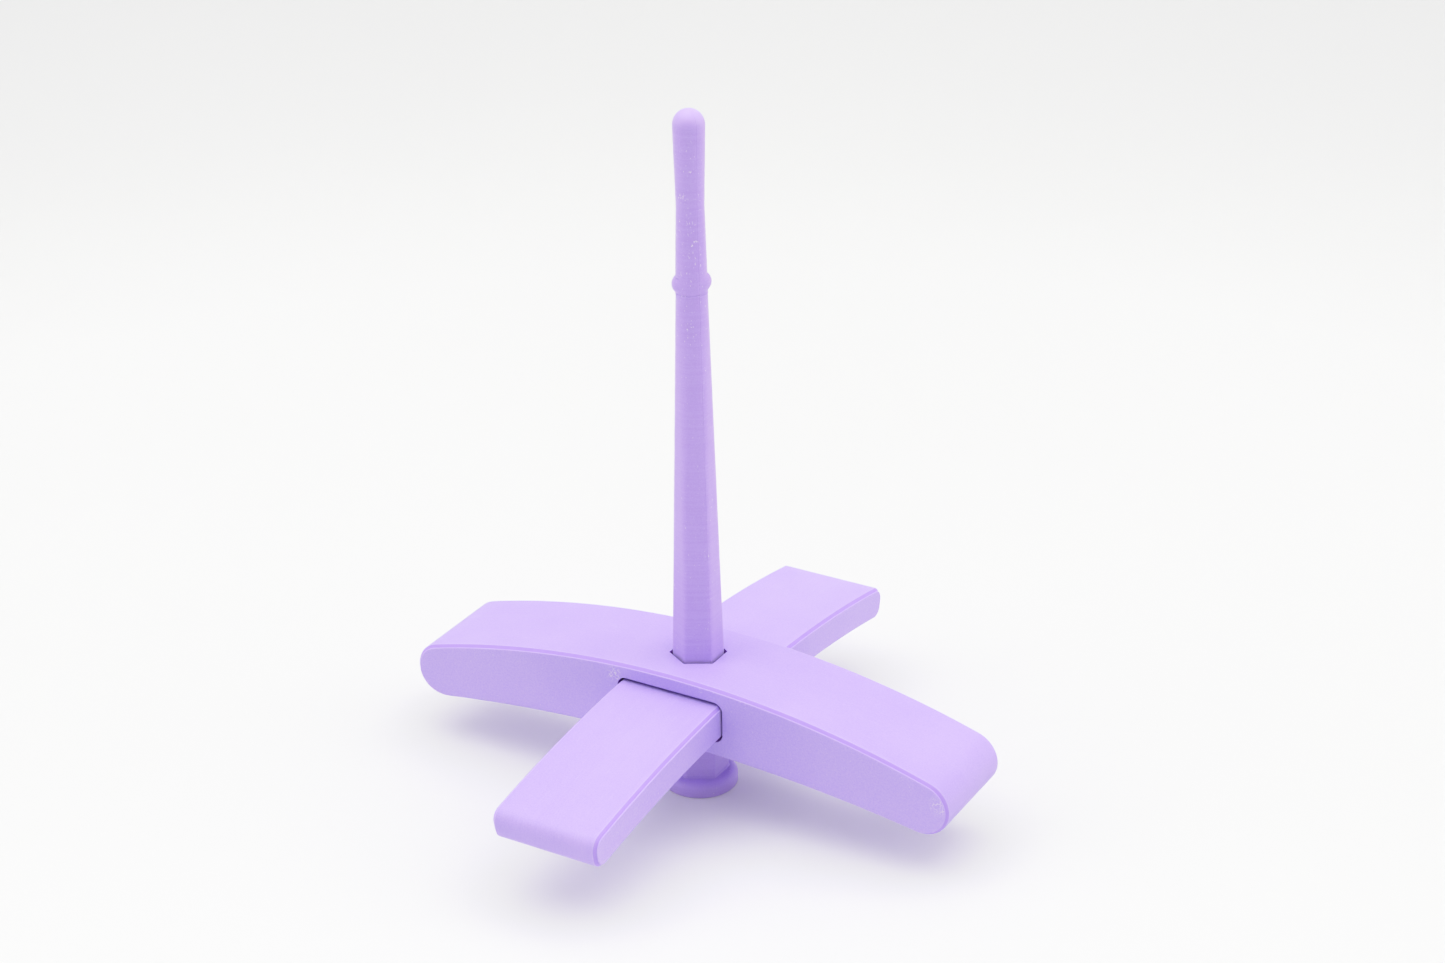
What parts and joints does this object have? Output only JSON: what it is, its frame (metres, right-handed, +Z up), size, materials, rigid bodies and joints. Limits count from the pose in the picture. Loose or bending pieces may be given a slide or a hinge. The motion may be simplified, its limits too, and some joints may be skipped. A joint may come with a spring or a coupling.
{
  "type": "drop spindle",
  "caption": "Turkish drop spindle: a tapering six-sided shaft with a round foot and a tilted pair of yarn knobs, through two arched cross arms that lift off over its tip.",
  "frame": {"origin": "centre of the foot's flat underside, which is the bottom centre of the whole object", "axes": "+Z up the shaft towards the tip, X along the outer arm, Y along the inner arm"},
  "size_m": [0.13, 0.1228, 0.1524],
  "materials": {
    "shaft_plastic": "satin lavender printed plastic with fine level layer lines",
    "arm_plastic": "satin lavender printed plastic, smooth along the top and finely textured on the side faces"
  },
  "bodies": {
    "shaft": {"shaft": "shaft_plastic"},
    "outer_arm": {"outer_arm": "arm_plastic"},
    "inner_arm": {"inner_arm": "arm_plastic"}
  },
  "joints": [
    {"name": "outer_arm_lift", "type": "slide", "parent": "shaft", "child": "outer_arm", "axis": [0, 0, 1], "range_m": [0, 0.14]},
    {"name": "inner_arm_lift", "type": "slide", "parent": "shaft", "child": "inner_arm", "axis": [0, 0, 1], "range_m": [0, 0.14]}
  ],
  "couplings": [
    {"joint": "inner_arm_lift", "follows": "outer_arm_lift", "ratio": 1}
  ]
}
